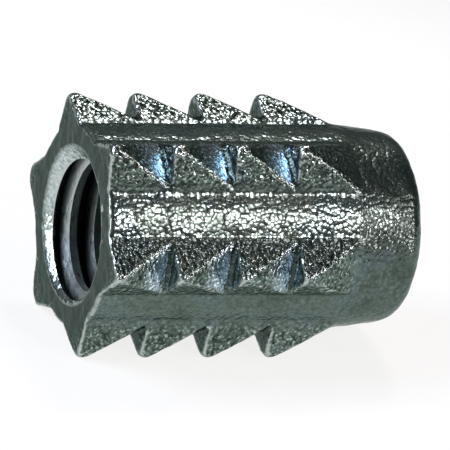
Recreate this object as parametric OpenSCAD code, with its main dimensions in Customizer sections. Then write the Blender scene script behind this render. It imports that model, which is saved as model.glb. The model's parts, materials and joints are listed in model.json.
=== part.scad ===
// Press-in wood insert: a die-cast zinc barrel with an internal thread, a tapered
// nose that leads into the drilled hole, and rows of backward-facing barbs that
// grip the wood. It lies on two rows of barbs, with its axis along X, the head
// face at X = 0 and the nose towards +X. All sizes are in millimetres.

/* [Barrel] */
// Length from the head face to the end of the nose
insert_length = 13; // [12:0.1:18]
// Wall of the plain barrel around the bore, between the barb rows
barrel_wall = 1.4; // [1.1:0.1:2.4]
// How far the nose tapers in, on the radius
nose_drop = 0.35; // [0.2:0.05:0.5]
// Rounding of the nose's outer edge
nose_round = 0.7; // [0.3:0.05:0.8]

/* [Threaded bore] */
// Bore diameter, at the crests of the thread
bore_d = 5; // [4:0.1:5.4]
// How far the countersunk mouth at the head widens the bore, on the radius
mouth_flare = 0.5; // [0.2:0.05:0.6]
// Depth of the countersunk mouth
mouth_depth = 0.45; // [0.2:0.05:0.8]
// Size of the chamfer where the bore leaves the nose
exit_chamfer = 0.25; // [0.1:0.05:0.4]

/* [Barbs] */
// Number of barb rows around the barrel
row_count = 6; // [4:2:6]
// Number of barbs along each row
barbs_per_row = 4; // [2:1:4]
// Distance from one barb to the next along a row
barb_pitch = 2.54; // [2.2:0.02:2.8]
// Height of the barb tips above the barrel
barb_height = 1.1; // [0.8:0.05:1.4]
// Height of the notch between two barbs above the barrel
notch_height = 0.05; // [0.02:0.01:0.3]
// Width of a barb row where it meets the barrel
row_width = 2.4; // [1.8:0.05:2.8]
// Radius of the blunted barb tips
tip_round = 0.25; // [0.1:0.05:0.3]

/* [Hidden] */
$fn = 96;

// How far a cut runs past the face that it opens
overrun = 0.5;
// How far the barbs are rooted below the barrel's surface
root_depth = 0.5;
// Straight steps along a rounded corner
arc_steps = 6;

bore_r = bore_d / 2;
barrel_r = bore_r + barrel_wall;
nose_start = barbs_per_row * barb_pitch;
nose_length = insert_length - nose_start;
tip_r = barrel_r + barb_height;
notch_r = barrel_r + notch_height;
root_r = barrel_r - root_depth;
// Two rows straddle the lowest line of the barrel, so that the insert lies steady
first_row_angle = 180 / row_count;

// Slope of a line that starts at a point and just touches a circle of radius r
// whose centre lies run across and rise up from that point
function touching_slope(run, rise, r) = atan2(rise, run) + asin(r / norm([run, rise]));

// Points along an arc about a centre
function arc(centre, r, from, to) =
    [for (i = [0:arc_steps])
        let (a = from + (to - from) * i / arc_steps)
        centre + r * [cos(a), sin(a)]];

// Barrel with its tapered nose, before the bore is cut
module barrel() {
    taper = atan2(nose_drop, nose_length);
    // The rounding touches the taper and the end face
    round_z = insert_length - nose_round;
    taper_r = barrel_r - (round_z - nose_start) * tan(taper);
    round_r = taper_r - nose_round / cos(taper);
    rotate_extrude()
        polygon(concat(
            [[0, 0], [barrel_r, 0], [barrel_r, nose_start]],
            arc([round_r, round_z], nose_round, taper, 90),
            [[0, insert_length]]));
}

// Sawtooth ring from which every row takes its barbs: a square back towards the
// head, a blunt tip, and a long slope towards the nose
module sawtooth_ring() {
    tip_centre_r = tip_r - tip_round;
    slope = touching_slope(barb_pitch - tip_round, tip_centre_r - notch_r, tip_round);
    root_end = nose_start + (notch_r - root_r) / tan(slope);
    rotate_extrude()
        polygon(concat(
            [[root_r, 0]],
            [for (k = [0:barbs_per_row - 1])
                let (back = k * barb_pitch)
                each concat(
                    k == 0 ? [] : [[notch_r, back]],
                    arc([tip_centre_r, back + tip_round], tip_round, -90, slope))],
            [[root_r, root_end]]));
}

// Roof-shaped section of one row, pointing along +X: two flat flanks that rise
// from the barrel to a blunt ridge
module row_section() {
    half_width = row_width / 2;
    foot = [sqrt(barrel_r * barrel_r - half_width * half_width), half_width];
    ridge = [tip_r - tip_round, 0];
    flank = touching_slope(half_width, ridge[0] - foot[0], tip_round);
    root = foot + root_depth * [-sin(flank), cos(flank)];
    polygon(concat(
        [[0, 0], [root[0], -root[1]]],
        arc(ridge, tip_round, -flank, flank),
        [root]));
}

// All the barbs: the rows' sections cut out of the sawtooth ring
module barbs() {
    intersection() {
        sawtooth_ring();
        union() {
            for (k = [0:row_count - 1])
                rotate([0, 0, first_row_angle + k * 360 / row_count])
                    linear_extrude(height = insert_length)
                        row_section();
        }
    }
}

// Through bore at the thread's crests, with its countersunk mouth and its exit
module bore() {
    mouth_slope = mouth_flare / mouth_depth;
    translate([0, 0, -overrun])
        cylinder(r = bore_r, h = insert_length + 2 * overrun);
    translate([0, 0, -overrun])
        cylinder(r1 = bore_r + mouth_flare + overrun * mouth_slope, r2 = bore_r,
                 h = mouth_depth + overrun);
    translate([0, 0, insert_length - exit_chamfer])
        cylinder(r1 = bore_r, r2 = bore_r + exit_chamfer + overrun,
                 h = exit_chamfer + overrun);
}

// The whole insert, one casting
module insert() {
    color([0.62, 0.66, 0.65])
        rotate([0, 90, 0])
            difference() {
                union() {
                    barrel();
                    barbs();
                }
                bore();
            }
}

insert();
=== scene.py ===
"""Press-in wood insert: a die-cast zinc barrel with six rows of barbs and a tapped bore.

The casting is shaped at a thousand times its size, so that one unit is a millimetre, because
the remesh that fuses it takes no voxels under a tenth of a millimetre. It is brought to its
real size, in metres, when it is finished."""

import functools
import json
import math

import bmesh
import bpy
from mathutils import Matrix, Vector

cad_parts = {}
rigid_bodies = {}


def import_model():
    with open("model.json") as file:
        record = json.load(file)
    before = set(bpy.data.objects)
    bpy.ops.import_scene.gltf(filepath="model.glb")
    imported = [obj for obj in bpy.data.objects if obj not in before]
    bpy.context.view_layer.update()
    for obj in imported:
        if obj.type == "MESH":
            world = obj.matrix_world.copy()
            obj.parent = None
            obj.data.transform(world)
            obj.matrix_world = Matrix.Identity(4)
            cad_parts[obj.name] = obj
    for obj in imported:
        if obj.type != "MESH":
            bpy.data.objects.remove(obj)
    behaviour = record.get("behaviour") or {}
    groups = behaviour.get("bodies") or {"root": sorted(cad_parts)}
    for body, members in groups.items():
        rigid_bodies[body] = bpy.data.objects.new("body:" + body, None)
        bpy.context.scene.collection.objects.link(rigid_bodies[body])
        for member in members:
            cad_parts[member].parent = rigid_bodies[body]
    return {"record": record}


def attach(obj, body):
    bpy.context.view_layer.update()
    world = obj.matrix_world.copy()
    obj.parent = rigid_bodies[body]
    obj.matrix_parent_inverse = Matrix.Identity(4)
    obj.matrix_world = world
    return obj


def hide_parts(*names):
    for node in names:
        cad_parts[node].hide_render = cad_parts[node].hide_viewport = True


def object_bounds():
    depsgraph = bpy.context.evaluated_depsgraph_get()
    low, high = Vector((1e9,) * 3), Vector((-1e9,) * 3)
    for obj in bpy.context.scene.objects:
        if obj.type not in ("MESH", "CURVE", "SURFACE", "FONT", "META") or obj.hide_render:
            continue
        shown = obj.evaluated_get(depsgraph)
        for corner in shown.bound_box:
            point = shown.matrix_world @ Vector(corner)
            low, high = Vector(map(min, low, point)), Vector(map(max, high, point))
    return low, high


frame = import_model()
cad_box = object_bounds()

bl_info = {
    "name": "Press-in wood insert",
    "version": (1, 0, 0),
    "blender": (4, 5, 0),
    "location": "3D View > Sidebar > Insert",
    "description": "Models a die-cast press-in insert with barbs and a tapped bore, and its studio",
    "category": "Object",
}

MM = 0.001
THREAD = next(m for m in frame["record"]["mounts"] if m["name"] == "thread")
CASTING = "cast_insert"
ROUND_SIDES = 288
THREAD_STEPS = 72
THREAD_FLANK = math.radians(30)
SMOOTH_BELOW = math.radians(35)
# Gaps, in millimetres, under which points count as one, as drawn and after the cuts
TIGHT = 1e-4
SLIVER = 3e-3


def linear(hex_colour):
    """An sRGB hex colour as linear red, green and blue."""
    shares = [int(hex_colour[i:i + 2], 16) / 255 for i in (1, 3, 5)]
    return tuple(c / 12.92 if c <= 0.04045 else ((c + 0.055) / 1.055) ** 2.4 for c in shares)


def length(name, description, millimetres):
    """A length that a user may change, kept in metres."""
    return bpy.props.FloatProperty(
        name=name, description=description, default=millimetres * MM, min=0.0,
        precision=5, subtype="DISTANCE", unit="LENGTH")


def colour(name, description, hex_colour):
    """A colour that a user may change, kept as linear light."""
    return bpy.props.FloatVectorProperty(
        name=name, description=description, default=linear(hex_colour), size=3,
        min=0.0, max=1.0, subtype="COLOR")


class InsertSizes(bpy.types.PropertyGroup):
    """Sizes of the insert."""
    insert_length: length("Length", "From the head face to the end of the nose",
                          (cad_box[1].x - cad_box[0].x) / MM)
    bore_r: length("Bore radius", "Radius at the crests of the thread", THREAD["dims"]["r_mm"])
    barrel_wall: length("Barrel wall", "Wall between the bore and the plain barrel", 1.4)
    nose_drop: length("Nose drop", "How far the nose tapers in, on the radius", 0.35)
    head_round: length("Head rounding", "Rounding of the head's outer edge", 0.15)
    nose_round: length("Nose rounding", "Rounding of the nose's outer edge", 0.7)
    mouth_flare: length("Mouth flare", "How far the mouth widens the bore, on the radius", 0.5)
    mouth_depth: length("Mouth depth", "Depth of the countersunk mouth", 0.45)
    exit_chamfer: length("Exit chamfer", "Chamfer where the bore leaves the nose", 0.25)
    barb_pitch: length("Barb pitch", "From one barb to the next along a row", 2.54)
    barb_height: length("Barb height", "Height of the tips above the barrel", 1.1)
    notch_height: length("Notch height", "Height of the notches above the barrel", 0.05)
    row_width: length("Row width", "Width of a row where it meets the barrel", 2.4)
    tip_round: length("Tip rounding", "Radius of the blunted tips and ridges", 0.3)
    root_depth: length("Root depth", "How far the barbs reach into the barrel", 0.5)
    row_count: bpy.props.IntProperty(
        name="Rows", description="Rows of barbs around the barrel", default=6, min=4, max=6)
    barbs_per_row: bpy.props.IntProperty(
        name="Barbs per row", description="Barbs along each row", default=4, min=2, max=4)
    thread_pitch: length("Thread pitch", "From one thread crest to the next", 1.0)
    thread_depth: length("Thread depth", "From the thread's crests to its roots", 0.5)
    thread_start: bpy.props.FloatProperty(
        name="Thread start", description="Turn at which the thread meets the head face",
        default=math.radians(-10), subtype="ANGLE", unit="ROTATION")
    soften: bpy.props.IntProperty(
        name="Soften", description="Rounds of smoothing that the fused casting gets", default=3,
        min=0)
    voxel: length("Voxel", "Cell of the remesh that fuses the casting", 0.09)
    swell: length("Cast swell", "Depth of the slow unevenness of the cast skin", 0.045)
    swell_size: length("Swell size", "Width of the slow unevenness of the cast skin", 0.9)
    dent: length("Cast dents", "Depth of the small dents in the cast skin", 0.035)
    dent_size: length("Dent size", "Width of the small dents in the cast skin", 0.35)


class ZincFinish(bpy.types.PropertyGroup):
    """Colours and grain of the plated zinc."""
    dull: colour("Dull", "Duller patches of the plating", "#58655E")
    plain: colour("Plain", "Most of the plating", "#64716A")
    blue: colour("Blue", "Patches with a blue passivated tinge", "#62716F")
    # This colour is a painted reflection: a pale blue low in the notches on the camera's side, for
    # the window's light
    film: colour("Film", "Blue film low in the notches between the barbs", "#94A4AC")
    # Painted shade: the head and the barbs' backs are coloured dark for the darker surroundings they
    # mirror
    backs: colour("Backs", "Dullest plating, on the head and the barbs' backs", "#363F3B")
    # This colour is partly real abrasion and partly a painted highlight along the edges
    worn: colour("Worn", "Edges that tumbling has rubbed bright", "#B9C2BE")
    glance: colour("Glance", "Tint of the plating at glancing angles", "#D3DAD8")
    # This colour is painted shade, laid in the furrows, the concave corners and the thread roots
    grime: colour("Grime", "Dull film in furrows, corners and thread roots", "#2A322E")
    chamfer: colour("Chamfer", "Bright cut zinc of the mouth and the exit", "#BBC7C5")
    # Tapped and Deep paint shade into the bore: lighter near its ends, darker deep in
    tapped: colour("Tapped", "Zinc cut by the tap and plated, near the bore's ends", "#CBD2D1")
    deep: colour("Deep", "Zinc cut by the tap, deep in the bore", "#4E5759")
    grain: length("Grain", "Width of the cast skin's grains", 0.17)
    grain_depth: length("Grain depth", "Height of the cast skin's grains", 0.017)
    crease: length("Crease", "Width of the cast skin's creases", 0.22)
    crease_depth: length("Crease depth", "Depth of the cast skin's creases", 0.013)


def power(name, description, watts):
    """A lamp's power that a user may change."""
    return bpy.props.FloatProperty(
        name=name, description=description, default=watts, min=0.0, precision=3, unit="POWER")


class StudioStage(bpy.types.PropertyGroup):
    """Floor, lamps and camera."""
    paper: colour("Paper", "Pale paper that the insert lies on", "#FDFDFC")
    # The paper greying off to this far out is a painted falloff of the lamps' light
    shade: colour("Shade", "Grey that the paper shades off to, out of the picture", "#A2A6A6")
    room: colour("Room", "Dim room around the lamps", "#616565")
    key_power: power("Key", "Box at the front, on the nose's side", 0.25)
    nose_power: power("Nose", "Low box beside the nose", 0.09)
    low_power: power("Low", "Flat box near the floor, in front of the nose", 0.075)
    back_power: power("Back", "Box above and behind the insert", 0.25)
    mouth_power: power("Mouth", "Low box in front of the bore's mouth", 0.1)
    window_power: power("Window", "Cool window beside the head", 0.7)
    fill_power: power("Fill", "Box overhead, behind the nose", 0.011)
    high_power: power("High", "Small box overhead, in front of the nose", 0.035)
    reflector_power: power("Reflector", "Wide dim board behind the insert", 0.018)
    distance: length("Camera distance", "From the camera to the insert's middle", 500)


class Size:
    """The insert's sizes in millimetres, with what follows from them."""

    def __init__(self, sizes):
        for name in InsertSizes.__annotations__:
            value = getattr(sizes, name)
            whole = isinstance(value, int) or name == "thread_start"
            setattr(self, name, value if whole else value / MM)
        self.barrel_r = self.bore_r + self.barrel_wall
        self.tip_r = self.barrel_r + self.barb_height
        self.notch_r = self.barrel_r + self.notch_height
        self.root_r = self.barrel_r - self.root_depth
        self.nose_start = self.barbs_per_row * self.barb_pitch
        self.nose_r = self.barrel_r - self.nose_drop


def touching_slope(run, rise, radius):
    """Slope of a line from a point that just touches a circle, run across and rise up from it."""
    return math.atan2(rise, run) + math.asin(radius / math.hypot(run, rise))


def clear_selection():
    """Object mode, with nothing selected."""
    if bpy.context.object and bpy.context.object.mode != "OBJECT":
        bpy.ops.object.mode_set(mode="OBJECT")
    bpy.ops.object.select_all(action="DESELECT")


def make_active(piece):
    """Selects one piece alone."""
    clear_selection()
    piece.select_set(True)
    bpy.context.view_layer.objects.active = piece


def keep_place():
    """Moves the active piece's place, turn and scale into its mesh."""
    bpy.ops.object.transform_apply(location=True, rotation=True, scale=True)


def pick(piece, mode, test):
    """Selects the vertices, edges or faces of a piece in edit mode that pass a test."""
    bpy.ops.mesh.select_mode(type=mode)
    bpy.ops.mesh.select_all(action="DESELECT")
    mesh = bmesh.from_edit_mesh(piece.data)
    found = {"VERT": mesh.verts, "EDGE": mesh.edges, "FACE": mesh.faces}[mode]
    for element in found:
        element.select_set(test(element))
    mesh.select_flush_mode()
    bmesh.update_edit_mesh(piece.data)


def along_x(lathe, start, depth, **sizes):
    """Adds a cylinder or cone whose axis runs along +X from a start."""
    clear_selection()
    lathe(depth=depth, location=(start + depth / 2, 0, 0), rotation=(0, math.pi / 2, 0), **sizes)
    keep_place()
    return bpy.context.object


def modify(piece, kind, **settings):
    """Adds a modifier to a piece and applies it."""
    make_active(piece)
    modifier = piece.modifiers.new(kind.title(), kind)
    for name, value in settings.items():
        setattr(modifier, name, value)
    bpy.ops.object.modifier_apply(modifier=modifier.name)


def drop(piece):
    """Deletes a piece that has done its work."""
    make_active(piece)
    bpy.ops.object.delete()


def cut(piece, tool, operation="DIFFERENCE"):
    """Cuts a tool out of a piece, or a piece to what it shares with the tool, and drops the tool."""
    modify(piece, "BOOLEAN", operation=operation, object=tool, solver="EXACT",
           material_mode="TRANSFER")
    drop(tool)


def radius_of(point):
    """Distance of a point from the insert's axis."""
    return math.hypot(point.y, point.z)


class INSERT_OT_barrel(bpy.types.Operator):
    """Adds the plain barrel with its tapered, rounded nose"""
    bl_idname = "insert.barrel"
    bl_label = "Barrel"

    def execute(self, context):
        size = Size(context.scene.insert_sizes)
        barrel = along_x(bpy.ops.mesh.primitive_cylinder_add, 0, size.nose_start,
                         vertices=ROUND_SIDES, radius=size.barrel_r)
        barrel.name = barrel.data.name = CASTING
        bpy.ops.object.mode_set(mode="EDIT")
        pick(barrel, "FACE", lambda f: f.normal.x > 0.9)
        bpy.ops.mesh.extrude_region_move(
            TRANSFORM_OT_translate={"value": (size.insert_length - size.nose_start, 0, 0)})
        narrow = size.nose_r / size.barrel_r
        bpy.ops.transform.resize(value=(1, narrow, narrow))
        pick(barrel, "EDGE", lambda e: all(
            v.co.x > size.insert_length - TIGHT for v in e.verts))
        bpy.ops.mesh.bevel(offset=size.nose_round, segments=6, affect="EDGES")
        pick(barrel, "EDGE", lambda e: all(v.co.x < TIGHT for v in e.verts))
        bpy.ops.mesh.bevel(offset=size.head_round, segments=3, affect="EDGES")
        bpy.ops.object.mode_set(mode="OBJECT")
        return {"FINISHED"}


class INSERT_OT_barbs(bpy.types.Operator):
    """Adds the rings of barbs, fuses them with the barrel, and forms the mouth and the cast skin"""
    bl_idname = "insert.barbs"
    bl_label = "Barbs"

    def roof_rows(self, size, span):
        """Star-shaped bar whose points are the rows' roof sections."""
        half = size.row_width / 2
        foot = math.sqrt(size.barrel_r ** 2 - half ** 2)
        flank = touching_slope(half, size.tip_r - size.tip_round - foot, size.tip_round)
        ridge_r = foot + half * math.tan(flank)
        step = math.pi / size.row_count
        valley = ridge_r / (1 + math.tan(step) * math.tan(flank)) / math.cos(step)
        bar = along_x(bpy.ops.mesh.primitive_cylinder_add, 0, span,
                      vertices=2 * size.row_count, radius=ridge_r)
        bpy.ops.object.mode_set(mode="EDIT")
        pick(bar, "VERT", lambda v: round(math.atan2(v.co.z, v.co.y) / step) % 2)
        inward = valley / ridge_r
        bpy.ops.transform.resize(value=(1, inward, inward))
        pick(bar, "EDGE", lambda e: all(radius_of(v.co) > ridge_r - TIGHT for v in e.verts))
        bpy.ops.mesh.bevel(offset=size.tip_round * math.tan(flank), segments=4,
                           affect="EDGES")
        bpy.ops.object.mode_set(mode="OBJECT")
        return bar

    def ring(self, size):
        """One ring of barbs: a cone with a blunt rim, cut to the rows' sections."""
        tip_centre = size.tip_r - size.tip_round
        slope = touching_slope(size.barb_pitch - size.tip_round, tip_centre - size.notch_r,
                               size.tip_round)
        rim_r = size.notch_r + size.barb_pitch * math.tan(slope)
        depth = (rim_r - size.root_r) / math.tan(slope)
        ring = along_x(bpy.ops.mesh.primitive_cone_add, 0, depth,
                       vertices=ROUND_SIDES, radius1=rim_r, radius2=size.root_r)
        bpy.ops.object.mode_set(mode="EDIT")
        pick(ring, "EDGE", lambda e: all(v.co.x < TIGHT for v in e.verts))
        blunt = size.tip_round / math.tan((math.pi / 2 - slope) / 2)
        bpy.ops.mesh.bevel(offset=blunt, segments=4, affect="EDGES")
        bpy.ops.object.mode_set(mode="OBJECT")
        cut(ring, self.roof_rows(size, depth), "INTERSECT")
        return ring

    def join_rings(self, size, casting):
        """Joins to the casting as many rings as a row has barbs."""
        rings = [self.ring(size)]
        for _ in range(size.barbs_per_row - 1):
            make_active(rings[-1])
            bpy.ops.object.duplicate_move(
                TRANSFORM_OT_translate={"value": (size.barb_pitch, 0, 0)})
            keep_place()
            rings.append(bpy.context.object)
        make_active(casting)
        for ring in rings:
            ring.select_set(True)
        bpy.ops.object.join()

    def fuse(self, size, casting):
        """Fuses the joined solids into one skin with soft edges and a countersunk mouth."""
        make_active(casting)
        bpy.ops.object.duplicate()
        pattern = bpy.context.object
        modify(casting, "REMESH", mode="VOXEL", voxel_size=size.voxel)
        widen = size.mouth_flare / size.mouth_depth
        mouth = along_x(bpy.ops.mesh.primitive_cone_add, -size.mouth_depth, 2 * size.mouth_depth,
                        vertices=ROUND_SIDES, radius2=size.bore_r,
                        radius1=size.bore_r + 2 * size.mouth_depth * widen)
        cut(casting, mouth)
        modify(casting, "REMESH", mode="VOXEL", voxel_size=size.voxel, use_smooth_shade=True)
        # The voxels leave ripples, so the skin outside the mouth goes back onto the true faces
        make_active(casting)
        bpy.ops.object.mode_set(mode="EDIT")
        rim = size.bore_r + size.mouth_flare + size.voxel
        pick(casting, "VERT", lambda v: radius_of(v.co) > rim)
        bpy.ops.object.vertex_group_assign_new()
        bpy.ops.object.mode_set(mode="OBJECT")
        modify(casting, "SHRINKWRAP", target=pattern, wrap_method="NEAREST_SURFACEPOINT",
               vertex_group=casting.vertex_groups[0].name)
        drop(pattern)
        modify(casting, "SMOOTH", factor=0.5, iterations=size.soften)

    def roughen(self, size, casting):
        """Gives the skin the slow unevenness and the small dents of a casting."""
        for name, width, depth in (("cast_swell", size.swell_size, size.swell),
                                   ("cast_dents", size.dent_size, size.dent)):
            clouds = bpy.data.textures.new(name, "CLOUDS")
            clouds.noise_scale = width
            clouds.noise_depth = 2
            modify(casting, "DISPLACE", texture=clouds, texture_coords="LOCAL", mid_level=0.5,
                   strength=depth)

    def execute(self, context):
        size = Size(context.scene.insert_sizes)
        casting = bpy.data.objects[CASTING]
        self.join_rings(size, casting)
        self.fuse(size, casting)
        self.roughen(size, casting)
        return {"FINISHED"}


class INSERT_OT_bore(bpy.types.Operator):
    """Cuts the exit and the tapped thread, and finishes the insert"""
    bl_idname = "insert.bore"
    bl_label = "Tapped bore"

    def tap(self, size):
        """Solid with the form of the thread, longer than the insert at both ends."""
        past = 2 * size.thread_pitch
        crest_r, root_r = size.bore_r, size.bore_r + size.thread_depth
        flank = size.thread_depth * math.tan(THREAD_FLANK)
        flat = (size.thread_pitch - 2 * flank) / 3
        clear_selection()
        bpy.ops.mesh.primitive_plane_add(size=1, location=(-past, 0, 0))
        keep_place()
        tap = bpy.context.object
        bpy.ops.object.mode_set(mode="EDIT")
        bpy.ops.mesh.select_mode(type="VERT")
        bpy.ops.mesh.select_all(action="SELECT")
        bpy.ops.mesh.merge(type="CENTER")
        bpy.ops.transform.translate(value=(0, crest_r, 0))
        for run, rise in ((2 * flat, 0), (flank, root_r - crest_r), (flat, 0),
                          (flank, crest_r - root_r)):
            bpy.ops.mesh.extrude_vertices_move(TRANSFORM_OT_translate={"value": (run, rise, 0)})
        bpy.ops.object.mode_set(mode="OBJECT")
        turns = math.ceil((size.insert_length + 2 * past) / size.thread_pitch)
        modify(tap, "SCREW", axis="X", screw_offset=size.thread_pitch, iterations=turns,
               steps=THREAD_STEPS, render_steps=THREAD_STEPS)
        bpy.ops.object.mode_set(mode="EDIT")
        bpy.ops.mesh.select_all(action="SELECT")
        bpy.ops.mesh.remove_doubles(threshold=TIGHT)
        bpy.ops.transform.rotate(value=size.thread_start, orient_axis="X",
                                 center_override=(0, 0, 0))
        for end, out in ((-past / 4, -1), (size.insert_length + past / 4, 1)):
            bpy.ops.mesh.select_all(action="SELECT")
            bpy.ops.mesh.bisect(plane_co=(end, 0, 0), plane_no=(out, 0, 0), use_fill=True,
                                clear_outer=True, threshold=TIGHT)
        bpy.ops.mesh.select_all(action="SELECT")
        bpy.ops.mesh.normals_make_consistent(inside=False)
        bpy.ops.object.mode_set(mode="OBJECT")
        return tap

    def clear_slivers(self):
        """Clears the active piece of slivers that cuts leave, which would fold over in an export.
        The skin keeps its squares, since the bright edges and dark corners painted on it are found
        from them."""
        bpy.ops.object.mode_set(mode="EDIT")
        bpy.ops.mesh.select_mode(type="FACE")
        bpy.ops.mesh.select_all(action="SELECT")
        bpy.ops.mesh.remove_doubles(threshold=SLIVER)
        bpy.ops.mesh.select_all(action="DESELECT")
        bpy.ops.mesh.select_face_by_sides(number=4, type="NOTEQUAL", extend=False)
        bpy.ops.mesh.select_more()
        bpy.ops.mesh.quads_convert_to_tris(quad_method="BEAUTY", ngon_method="BEAUTY")
        bpy.ops.mesh.dissolve_degenerate(threshold=SLIVER)
        bpy.ops.mesh.quads_convert_to_tris(quad_method="BEAUTY", ngon_method="BEAUTY")
        bpy.ops.object.mode_set(mode="OBJECT")

    def execute(self, context):
        size = Size(context.scene.insert_sizes)
        finish = context.scene.insert_finish
        casting = bpy.data.objects[CASTING]
        casting.data.materials.clear()
        casting.data.materials.append(cast_zinc(finish, size))
        leave = along_x(bpy.ops.mesh.primitive_cone_add, size.insert_length - size.exit_chamfer,
                        2 * size.exit_chamfer, vertices=ROUND_SIDES, radius1=size.bore_r,
                        radius2=size.bore_r + 2 * size.exit_chamfer)
        leave.data.materials.append(casting.data.materials[0])
        cut(casting, leave)
        tap = self.tap(size)
        tap.data.materials.append(tapped_zinc(finish, size))
        cut(casting, tap)
        make_active(casting)
        self.clear_slivers()
        bpy.ops.transform.resize(value=(MM, MM, MM), center_override=(0, 0, 0))
        keep_place()
        bpy.ops.object.shade_smooth_by_angle(angle=SMOOTH_BELOW)
        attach(casting, "root")
        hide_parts("insert")
        return {"FINISHED"}


def add_node(tree, kind, inputs=(), **settings):
    """Adds a node with its settings, and sets or links its inputs, given in order or by name. An
    input that is given as a node is linked to that node's first output."""
    node = tree.nodes.new(kind)
    for name, value in settings.items():
        setattr(node, name, value)
    for key, value in inputs.items() if isinstance(inputs, dict) else enumerate(inputs):
        if isinstance(value, bpy.types.Node):
            value = value.outputs[0]
        if isinstance(value, bpy.types.NodeSocket):
            tree.links.new(value, node.inputs[key])
        else:
            node.inputs[key].default_value = value
    return node


def new_material(name):
    """Adds an empty node material, and returns it with a function that adds nodes to it."""
    material = bpy.data.materials.new(name)
    material.use_nodes = True
    material.node_tree.nodes.clear()
    return material, functools.partial(add_node, material.node_tree)


def band(place, start, end):
    """Start and end, in metres, of the band in which one zone of a finish passes into the next.
    It lies near a place of the insert, and all three are given in millimetres."""
    return (place + start) * MM, (place + end) * MM


def cast_zinc(finish, size):
    """Die-cast zinc alloy, barrel-plated with bright zinc and blue passivated."""
    material, add = new_material("die_cast_zinc_bright_plated")
    patch_width = 1.4 * MM
    speck_width = 0.11 * MM
    # Edges of the zones, by their distance from the axis
    barb_foot = band(size.barrel_r, 0.0, 0.4)
    mouth_rim = band(size.bore_r + size.mouth_flare, 0.1, -0.15)
    sheen_top = band(size.barrel_r, 0.7, 0.3)
    sheen_foot = band(size.barrel_r, -0.04, 0.02)
    # Edges along the axis, and towards the side that faces the camera
    nose_begins = band(size.nose_start, -0.16, 0.44)
    sheen_from = 0.6 * MM
    sheen_to = ((size.barbs_per_row - 1) * size.barb_pitch + 0.38) * MM
    camera_side = (0.0, -0.8, 0.6)
    camera_side_edge = band(size.barrel_r, -1.9, -0.9)
    place = add("ShaderNodeTexCoord").outputs["Object"]
    surface = add("ShaderNodeNewGeometry").outputs
    along = add("ShaderNodeSeparateXYZ", [place])
    lean = add("ShaderNodeSeparateXYZ", [surface["Normal"]])
    from_axis = add("ShaderNodeMapping", {"Vector": place, "Scale": (0, 1, 1)})
    radius = add("ShaderNodeVectorMath", [from_axis], operation="LENGTH").outputs["Value"]
    on_barbs = add("ShaderNodeMapRange", [radius, *barb_foot])
    on_nose = add("ShaderNodeMapRange", [along, *nose_begins])
    on_backs = add("ShaderNodeMapRange", [lean, -0.8, -0.95])
    # The skin is a field of small bright grains, each of which mirrors another direction. It is
    # roughest on the barbs, and calm on the backs
    calm = add("ShaderNodeMapRange", [on_backs, 0.0, 1.0, 1.0, 0.25])
    creases = add("ShaderNodeTexNoise",
                  {"Vector": place, "Scale": 1 / finish.crease, "Detail": 1.0})
    creasing = add("ShaderNodeMapRange",
                   [on_barbs, 0.0, 1.0, finish.crease_depth, finish.crease_depth * 3.5])
    creased = add("ShaderNodeBump", {"Height": creases, "Strength": calm, "Distance": creasing})
    grains = add("ShaderNodeTexVoronoi", {"Vector": place, "Scale": 1 / finish.grain})
    domes = add("ShaderNodeMath", [grains, 2.0], operation="POWER")
    height = add("ShaderNodeMapRange",
                 [on_barbs, 0.0, 1.0, finish.grain_depth, finish.grain_depth * 1.9])
    bump = add("ShaderNodeBump",
               {"Height": domes, "Distance": height, "Strength": calm, "Normal": creased},
               invert=True)
    # The plating lies in duller and bluer patches
    patches = add("ShaderNodeTexNoise",
                  {"Vector": place, "Scale": 1 / patch_width, "Detail": 3.0})
    gloss = add("ShaderNodeMapRange", [patches, 0.35, 0.65, 0.26, 0.18])
    skin = add("ShaderNodeValToRGB", [patches])
    stops = skin.color_ramp.elements
    stops[0].position, stops[1].position = 0.38, 0.5
    stops[0].color, stops[1].color = (*finish.dull, 1), (*finish.plain, 1)
    stops.new(0.64).color = (*finish.blue, 1)
    # The head and the barbs' backs are coloured darkest, as painted shade for the darker
    # surroundings they mirror, and the cut mouth and exit are brightest
    skin = add("ShaderNodeMixRGB", [on_backs, skin, (*finish.backs, 1)])
    in_mouth = add("ShaderNodeMapRange", [radius, *mouth_rim])
    skin = add("ShaderNodeMixRGB", [in_mouth, skin, (*finish.chamfer, 1)])
    # Painted shade: the furrows between the grains and the concave corners are coloured darker
    rims = add("ShaderNodeMapRange", [grains, 0.4, 0.75])
    furrow_shade = add("ShaderNodeMapRange", [on_barbs, 0.0, 1.0, 0.35, 0.85])
    furrows = add("ShaderNodeMath", [rims, furrow_shade], operation="MULTIPLY")
    corners = add("ShaderNodeMapRange", [surface["Pointiness"], 0.49, 0.46, 0.0, 0.8])
    painted_shade_mask = add("ShaderNodeMath", [furrows, corners], operation="MAXIMUM")
    skin = add("ShaderNodeMixRGB", [painted_shade_mask, skin, (*finish.grime, 1)])
    # Painted reflection: a pale blue low in the notches, on the side that faces the camera,
    # stands for the window's blue light mirrored there
    on_slopes = add("ShaderNodeMapRange", [lean, 0.2, 0.4])
    film = add("ShaderNodeMath", [on_slopes, on_backs], operation="MAXIMUM")
    low = add("ShaderNodeMapRange", [radius, *sheen_top])
    clear = add("ShaderNodeMapRange", [radius, *sheen_foot])
    among = add("ShaderNodeMath", [along, (sheen_from + sheen_to) / 2, (sheen_to - sheen_from) / 2],
                operation="COMPARE")
    aside = add("ShaderNodeVectorMath", [place, camera_side], operation="DOT_PRODUCT")
    on_camera_side = add("ShaderNodeMapRange", [aside.outputs["Value"], *camera_side_edge])
    for share in (low, clear, among, on_camera_side):
        film = add("ShaderNodeMath", [film, share], operation="MULTIPLY")
    skin = add("ShaderNodeMixRGB", [film, skin, (*finish.film, 1)])
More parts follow.
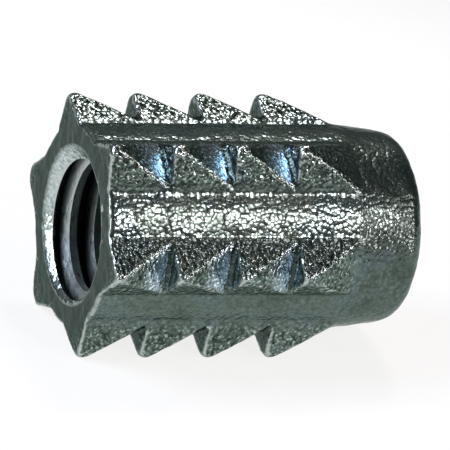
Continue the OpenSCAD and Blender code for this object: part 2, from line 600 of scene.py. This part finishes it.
    # It is all speckled, most of all on the barbs, and the nose is duller
    speckle = add("ShaderNodeTexNoise",
                  {"Vector": place, "Scale": 1 / speck_width, "Detail": 2.0})
    specks = add("ShaderNodeMapRange", [speckle, 0.52, 0.7])
    strength = add("ShaderNodeMapRange", [on_barbs, 0.0, 1.0, 0.4, 3.2])
    plain = add("ShaderNodeMapRange", [on_nose, 0.0, 1.0, 1.0, 0.82])
    tone = add("ShaderNodeMath", [specks, strength, plain], operation="MULTIPLY_ADD")
    skin = add("ShaderNodeVectorMath", {0: skin, "Scale": tone}, operation="SCALE")
    # Edges are coloured bright, in dots along the ridges and throughout round the backs: partly
    # real abrasion, partly a painted highlight along the edges
    edges = add("ShaderNodeMapRange", [surface["Pointiness"], 0.513, 0.545])
    dots = add("ShaderNodeMapRange", [creases, 0.48, 0.6])
    dots = add("ShaderNodeMath", [dots, on_barbs], operation="MULTIPLY")
    round_backs = add("ShaderNodeMapRange", [lean, -0.15, -0.4, 0.0, 0.9])
    rubbed_and_lit = add("ShaderNodeMath", [dots, round_backs], operation="MAXIMUM")
    wear_and_glint_mask = add("ShaderNodeMath", [edges, rubbed_and_lit], operation="MULTIPLY")
    skin = add("ShaderNodeMixRGB", [wear_and_glint_mask, skin, (*finish.worn, 1)])
    shader = add("ShaderNodeBsdfPrincipled",
                 {"Base Color": skin, "Metallic": 1.0, "Roughness": gloss,
                  "Specular Tint": (*finish.glance, 1), "Normal": bump})
    add("ShaderNodeOutputMaterial", [shader])
    return material


def tapped_zinc(finish, size):
    """Zinc alloy, cut by the tap and thinly plated."""
    material, add = new_material("tapped_zinc_thin_plated")
    mark_width = 0.3 * MM
    mark_depth = 0.01 * MM
    # Edges of the zones, from the bore's ends and from the axis
    darkening_inward = band(0.0, 1.0, 2.2)
    roots_begin = band(size.bore_r, 0.2, 0.45)
    place = add("ShaderNodeTexCoord").outputs["Object"]
    # Smoother than the cast skin, with fine lines round the bore that the tap's teeth left
    drawn_out = add("ShaderNodeMapping", {"Vector": place, "Scale": (4.0, 1.0, 1.0)})
    marks = add("ShaderNodeTexNoise",
                {"Vector": drawn_out, "Scale": 1 / mark_width, "Detail": 3.0})
    gloss = add("ShaderNodeMapRange", [marks, 0.3, 0.7, 0.25, 0.4])
    bump = add("ShaderNodeBump", {"Height": marks, "Distance": mark_depth, "Strength": 1.0})
    # Painted shade: the bore is coloured darker farther in from its ends
    along = add("ShaderNodeSeparateXYZ", [place])
    from_ends = add("ShaderNodeMath", [along, size.insert_length * MM / 2], operation="PINGPONG")
    inside = add("ShaderNodeMapRange", [from_ends, *darkening_inward])
    skin = add("ShaderNodeMixRGB", [inside, (*finish.tapped, 1), (*finish.deep, 1)])
    # Painted shade darkens the thread roots, and a painted highlight brightens the crests' edges
    from_axis = add("ShaderNodeMapping", {"Vector": place, "Scale": (0, 1, 1)})
    radius = add("ShaderNodeVectorMath", [from_axis], operation="LENGTH").outputs["Value"]
    in_roots = add("ShaderNodeMapRange", [radius, *roots_begin])
    skin = add("ShaderNodeMixRGB", [in_roots, skin, (*finish.grime, 1)])
    surface = add("ShaderNodeNewGeometry").outputs
    # Painted highlight on the crests' convex edges
    wear_and_glint_mask = add("ShaderNodeMapRange", [surface["Pointiness"], 0.51, 0.56])
    skin = add("ShaderNodeMixRGB", [wear_and_glint_mask, skin, (*finish.worn, 1)])
    shader = add("ShaderNodeBsdfPrincipled",
                 {"Base Color": skin, "Metallic": 1.0, "Roughness": gloss, "Normal": bump})
    add("ShaderNodeOutputMaterial", [shader])
    return material


def pale_paper(stage):
    """Uncoated drawing paper, machine made."""
    material, add = new_material("matt_drawing_paper")
    fibre_width = 2.0 * MM
    shading_off = band(0.0, 36.0, 95.0)
    white_share = 0.85
    place = add("ShaderNodeTexCoord").outputs["Object"]
    # Matt and pale, with a faint mottle of its fibres, and greyer far out of the picture, a
    # painted falloff of the lamps' light
    fibres = add("ShaderNodeTexNoise", {"Vector": place, "Scale": 1 / fibre_width, "Detail": 4.0})
    mottle = add("ShaderNodeValToRGB", [fibres])
    low, high = mottle.color_ramp.elements
    low.color, high.color = (*[0.98 * c for c in stage.paper], 1), (*stage.paper, 1)
    distance = add("ShaderNodeVectorMath", [place], operation="LENGTH").outputs["Value"]
    far = add("ShaderNodeMapRange", [distance, *shading_off])
    tone = add("ShaderNodeMixRGB", [far, mottle, (*stage.shade, 1)])
    matt = add("ShaderNodeBsdfPrincipled", {"Base Color": tone, "Roughness": 0.9})
    # Seen directly or mirrored, it is part way to plain white, so that shadows on it stay light
    glow = add("ShaderNodeEmission", [tone])
    rays = add("ShaderNodeLightPath").outputs
    seen = add("ShaderNodeMath", [rays["Is Camera Ray"], rays["Is Glossy Ray"]],
               operation="MAXIMUM")
    seen = add("ShaderNodeMath", [seen, rays["Is Transmission Ray"]], operation="MAXIMUM")
    share = add("ShaderNodeMath", [seen, white_share], operation="MULTIPLY")
    shader = add("ShaderNodeMixShader", [share, matt, glow])
    add("ShaderNodeOutputMaterial", [shader])
    return material


class INSERT_OT_stage(bpy.types.Operator):
    """Adds the paper floor, the lamps, the dim room and the camera"""
    bl_idname = "insert.stage"
    bl_label = "Studio"

    # The camera's direction and roll, and where the insert's middle falls in the picture
    AZIMUTH, ELEVATION, ROLL = -24.02, 22.66, 9.92
    PICTURE, PER_MM, MIDDLE = 450, 26.46, (231.7, 225.46)
    # How far the lamps stand from the insert, and how far the paper reaches, in metres
    REACH, PAPER_R = 0.25, 1.5
    # The camera's sensor is this wide, in millimetres
    SENSOR = 36
    # Tints of the lamps
    WARM, WHITE, COOL = "#FFEFF4", "#FFFFFF", "#DCE8FF"

    def floor(self, stage):
        """Wide flat sheet of paper, whose edge lies far behind every picture."""
        clear_selection()
        bpy.ops.mesh.primitive_circle_add(vertices=ROUND_SIDES, radius=self.PAPER_R,
                                          fill_type="NGON", location=(0, 0, cad_box[0].z))
        keep_place()
        paper = bpy.context.object
        paper.name = "paper_floor"
        paper.data.materials.append(pale_paper(stage))

    def lamp(self, name, turn, height, size, power, tint):
        """Soft box that faces the insert, a turn to the right of the camera and a height above
        the floor, both in degrees."""
        clear_selection()
        turn, height = math.radians(self.AZIMUTH + turn), math.radians(height)
        towards = Vector((math.sin(turn) * math.cos(height), -math.cos(turn) * math.cos(height),
                          math.sin(height)))
        bpy.ops.object.light_add(type="AREA", location=self.middle + towards * self.REACH,
                                 rotation=towards.to_track_quat("Z", "Y").to_euler())
        box = bpy.context.object
        box.name = name
        box.data.shape = "RECTANGLE"
        box.data.size, box.data.size_y = size
        box.data.energy = power
        box.data.color = linear(tint)

    def lamps(self, stage):
        """Soft boxes, a window and a reflector around the insert."""
        self.lamp("key_lamp", 50, 29, (0.056, 0.048), stage.key_power, self.WARM)
        self.lamp("nose_lamp", 84, 27, (0.04, 0.045), stage.nose_power, self.WARM)
        self.lamp("low_lamp", 74, 5, (0.04, 0.03), stage.low_power, self.WARM)
        self.lamp("back_lamp", 175, 57, (0.055, 0.05), stage.back_power, self.WARM)
        self.lamp("mouth_lamp", -56, 14, (0.106, 0.1), stage.mouth_power, self.WHITE)
        self.lamp("window", -78, 42, (0.14, 0.14), stage.window_power, self.COOL)
        self.lamp("fill_lamp", 127, 68, (0.05, 0.05), stage.fill_power, self.WARM)
        self.lamp("high_lamp", 66, 62, (0.03, 0.03), stage.high_power, self.WARM)
        self.lamp("reflector", 180, 30, (0.3, 0.15), stage.reflector_power, self.WHITE)

    def room(self, scene, stage):
        """Dim room around the lamps."""
        world = bpy.data.worlds.new("dim_room")
        scene.world = world
        world.use_nodes = True
        world.node_tree.nodes["Background"].inputs["Color"].default_value = (*stage.room, 1)

    def camera(self, scene, stage):
        """Camera with a long lens, which sees the insert from the photograph's direction."""
        a, e, r = (math.radians(v) for v in (self.AZIMUTH, self.ELEVATION, self.ROLL))
        right = Vector((math.cos(a), math.sin(a), 0))
        back = Vector((math.sin(a) * math.cos(e), -math.cos(a) * math.cos(e), math.sin(e)))
        up = back.cross(right)
        # Axes of the picture, which is rolled
        across = math.cos(r) * right + math.sin(r) * up
        upward = math.cos(r) * up - math.sin(r) * right
        clear_selection()
        bpy.ops.object.camera_add()
        camera = bpy.context.object
        camera.name = "camera"
        # The shift that puts the insert's middle in its place in the picture
        aim = [(self.MIDDLE[0] - self.PICTURE / 2) / self.PER_MM * MM,
               (self.PICTURE / 2 - self.MIDDLE[1]) / self.PER_MM * MM]
        place = self.middle + back * stage.distance - across * aim[0] - upward * aim[1]
        camera.matrix_world = Matrix.Translation(place) @ Matrix(
            (across, upward, back)).transposed().to_4x4()
        camera.data.sensor_width = self.SENSOR
        camera.data.lens = self.PER_MM * stage.distance / MM * self.SENSOR / self.PICTURE
        scene.camera = camera

    def execute(self, context):
        scene = context.scene
        stage = scene.insert_stage
        self.middle = Vector(((cad_box[0].x + cad_box[1].x) / 2, 0, 0))
        self.floor(stage)
        self.lamps(stage)
        self.room(scene, stage)
        self.camera(scene, stage)
        scene.view_settings.view_transform = "Standard"
        return {"FINISHED"}


class INSERT_PT_panel(bpy.types.Panel):
    """Sizes, finish and steps of the insert"""
    bl_idname = "INSERT_PT_panel"
    bl_label = "Press-in insert"
    bl_space_type = "VIEW_3D"
    bl_region_type = "UI"
    bl_category = "Insert"

    def draw(self, context):
        for group in (context.scene.insert_sizes, context.scene.insert_finish,
                      context.scene.insert_stage):
            box = self.layout.box()
            for name in group.__annotations__:
                box.prop(group, name)
        for step in STEPS:
            self.layout.operator(step.bl_idname)


GROUPS = {"insert_sizes": InsertSizes, "insert_finish": ZincFinish, "insert_stage": StudioStage}
STEPS = (INSERT_OT_barrel, INSERT_OT_barbs, INSERT_OT_bore, INSERT_OT_stage)


def register():
    """Registers the classes, and adds the settings to the scene."""
    for kind in (*GROUPS.values(), *STEPS, INSERT_PT_panel):
        bpy.utils.register_class(kind)
    for name, kind in GROUPS.items():
        setattr(bpy.types.Scene, name, bpy.props.PointerProperty(type=kind))


def unregister():
    """Takes the settings and the classes away."""
    for name in GROUPS:
        delattr(bpy.types.Scene, name)
    for kind in reversed((*GROUPS.values(), *STEPS, INSERT_PT_panel)):
        bpy.utils.unregister_class(kind)


def main():
    """Builds the insert and its studio."""
    register()
    bpy.ops.insert.barrel()
    bpy.ops.insert.barbs()
    bpy.ops.insert.bore()
    bpy.ops.insert.stage()


if __name__ == "__main__":
    main()
